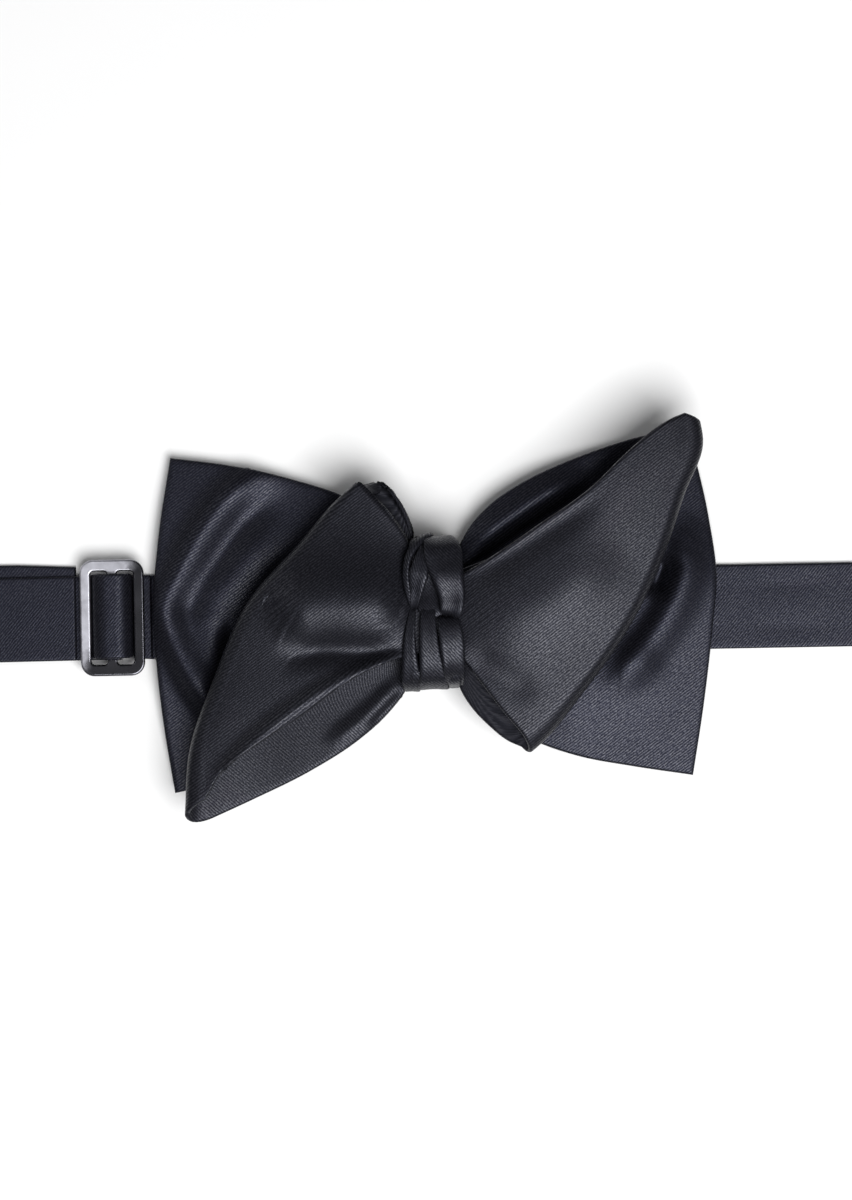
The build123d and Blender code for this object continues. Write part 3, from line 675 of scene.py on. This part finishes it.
def turned(points, count=12):
    """x and z points with each corner given as (x, z, radius) replaced by its arc."""
    made = [points[0][:2]]
    for before, corner, after in zip(points, points[1:], points[2:]):
        at, radius = np.array(corner[:2], float), corner[2]
        a = np.array(before[:2]) - at
        b = np.array(after[:2]) - at
        a, b = a / np.linalg.norm(a), b / np.linalg.norm(b)
        angle = math.acos(float(np.clip(a @ b, -1, 1)))
        reach = radius / math.tan(angle / 2)
        centre = at + (a + b) / np.linalg.norm(a + b) * (radius / math.sin(angle / 2))
        start = at + a * reach - centre
        finish = at + b * reach - centre
        sweep = math.pi - angle
        for k in range(count + 1):
            share = k / count
            place = (math.sin((1 - share) * sweep) * start
                     + math.sin(share * sweep) * finish) / math.sin(sweep)
            made.append(tuple(centre + place))
    return made + [points[-1][:2]]


def node_box(name):
    """A CAD node's lowest and highest corners in millimetres."""
    low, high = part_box(name)
    return np.array(low) / MM, np.array(high) / MM


LOW_PLY = BAND_THICKNESS / 2                  # mid-plane of a ply on the table
HIGH_PLY = LOW_PLY + BAND_THICKNESS + 0.1     # and of a ply lying on that one


def neckband():
    over_low, over_high = node_box("band_over_slider")
    turn_end = node_box("hook_turn")[1][0]
    right_end = node_box("neckband_right_cover")[1][0]
    knot_level = node_box("neckband_left_cover")[1][2] - BAND_THICKNESS / 2
    left = band("neckband_left", turned([(over_high[0], LOW_PLY), (-14.2, LOW_PLY, 5), (-9.6, knot_level, 5),
                                         (0.0, knot_level)]))
    right = band("neckband_right", turned([(0.0, knot_level), (9.6, knot_level, 5), (14.2, LOW_PLY, 5),
                                           (right_end, LOW_PLY)]))
    upper = band("upper_run_band", [(turn_end, HIGH_PLY), (over_low[0], HIGH_PLY)],
                 sway=((0, 0), (0.4, -0.3), (1, 0)))
    lower = band("lower_run_band", [(turn_end, LOW_PLY), (over_low[0], LOW_PLY)], ripple=0.0,
                 sway=((0, 0), (0.15, 0.4), (0.6, 3.0), (0.85, 2.8), (1, 2.2)))
    return left, right, upper, lower


def end_fold(name, node, side):
    """The band's ply round the bar of the hook or the eye, from its low run to the end of its high one."""
    low, high = node_box(node)
    crest, tail, foot = (high[0], low[0], node_box("neckband_right_cover")[1][0]) if side > 0 else (
        -low[0], -high[0], -high[0])
    crest -= BAND_THICKNESS / 2
    top = high[2] - BAND_THICKNESS / 2
    bend = (top - LOW_PLY) / 2 * 0.98
    slope_end = crest - 2 * bend - 4.0
    points = [(foot, LOW_PLY), (crest, LOW_PLY, bend), (crest, top, bend), (crest - 2.2, top, 1.4),
              (slope_end, HIGH_PLY, 1.4), (tail, HIGH_PLY)]
    return band(name, turned([(side * p[0], *p[1:]) for p in points]), ripple=0.0)


def slider_band():
    """The running ply's arch over the slider's middle bar, and the band's end wrapped round that bar."""
    low, high = node_box("band_over_slider")
    middle = (low[0] + high[0]) / 2
    top = high[2] - BAND_THICKNESS / 2
    reach = 4.2
    path = [(low[0], HIGH_PLY), (middle - reach, HIGH_PLY, 1.0), (middle - reach, top, 3.2),
            (middle + reach, top, 3.2), (middle + reach, LOW_PLY, 1.0), (high[0], LOW_PLY)]
    arch = band("slider_arch", turned(path), ripple=0.05, sway=((0, 0), (0.25, 0.4), (0.75, 0.4), (1, 0)))
    wrap_low, wrap_high = node_box("slider_bar_wrap")
    half = wrap_high[0] - middle - BAND_THICKNESS / 2
    over, under = wrap_high[2] - BAND_THICKNESS / 2, node_box("slider")[0][2] - BAND_THICKNESS / 2 - 0.1
    wrap = band("slider_wrap", turned([(wrap_low[0], LOW_PLY), (middle - half, LOW_PLY, 0.6),
                                       (middle - half, over, 0.6), (middle + half, over, 0.6),
                                       (middle + half, under, 0.6), (middle + 0.6 - half, under)]),
                ripple=0.0)
    return arch, wrap


# Making ---------------------------------------------------------------------------------------------------

def studio():
    bpy.ops.mesh.primitive_plane_add(size=TABLE_SIZE, location=(0, 0, -TABLE_DROP))
    table = bpy.context.object
    table.name = "table_top"
    table.data.materials.append(pale_table())
    world = bpy.data.worlds.new("studio")
    bpy.context.scene.world = world
    world.use_nodes = True
    world.node_tree.nodes["Background"].inputs[0].default_value = (0.98, 0.99, 1.0, 1.0)
    world.node_tree.nodes["Background"].inputs[1].default_value = ROOM_LIGHT
    for name, place, size, power in LIGHTS:
        lamp = bpy.data.lights.new(name, "AREA")
        lamp.shape, lamp.size, lamp.energy = "SQUARE", size, power
        stand = bpy.data.objects.new(name, lamp)
        bpy.context.scene.collection.objects.link(stand)
        stand.location = place
        stand.rotation_euler = (-stand.location).to_track_quat("-Z", "Y").to_euler()
    bpy.context.scene.view_settings.view_transform = "Standard"


def camera():
    lens = bpy.data.cameras.new("camera")
    lens.lens = CAMERA_LENS
    stand = bpy.data.objects.new("camera", lens)
    bpy.context.scene.collection.objects.link(stand)
    stand.location = (*CAMERA_AIM, CAMERA_HEIGHT)
    stand.rotation_euler = (0, 0, CAMERA_ROLL)
    bpy.context.scene.camera = stand


camera()
studio()

rear = dress(rear_blade(), REAR_SATIN, "satin", "bow", "rear_blade_cover", "rear_blade_interlining")
front = dress(front_bow(), SATIN, "satin", "bow", "front_bow_cover", "front_bow_interlining", "knot_padding")
ring = dress(knot_ring(), SATIN, "satin", "bow", "knot_wrap")
folds = [dress(fold, SATIN, "satin", "bow") for fold in knot_pieces()]

band_left, band_right, run_upper, run_lower = neckband()
arch, bar_wrap = slider_band()
dress(band_right, BAND_SATIN, "band_satin", "bow", "neckband_right_cover", "neckband_right_interlining")
dress(band_left, BAND_SATIN, "band_satin", None, "neckband_left_cover", "neckband_left_interlining")
dress(run_upper, BAND_SATIN, "band_satin", None, "upper_run")
dress(run_lower, BAND_SATIN, "band_satin", None, "lower_run")
dress(arch, BAND_SATIN, "band_satin", "slider", "band_over_slider")
dress(bar_wrap, BAND_SATIN, "band_satin", "slider", "slider_bar_wrap")
hook_fold = dress(end_fold("hook_end_fold", "hook_turn", -1), BAND_SATIN, "band_satin", "hook_carrier",
                  "hook_turn")
eye_fold = dress(end_fold("eye_end_band", "eye_end_fold", 1), BAND_SATIN, "band_satin", "bow", "eye_end_fold")

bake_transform(band_left)
for run in (run_upper, run_lower):
    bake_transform(run)

for material, names in ((SLIDER_NICKEL, ("slider",)), (NICKEL, ("hook", "eye")),
                        (THREAD, ("knot_seam_stitches", "eye_bartack", "slider_bartack"))):
    for name in names:
        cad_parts[name].data.materials.clear()
        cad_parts[name].data.materials.append(material)
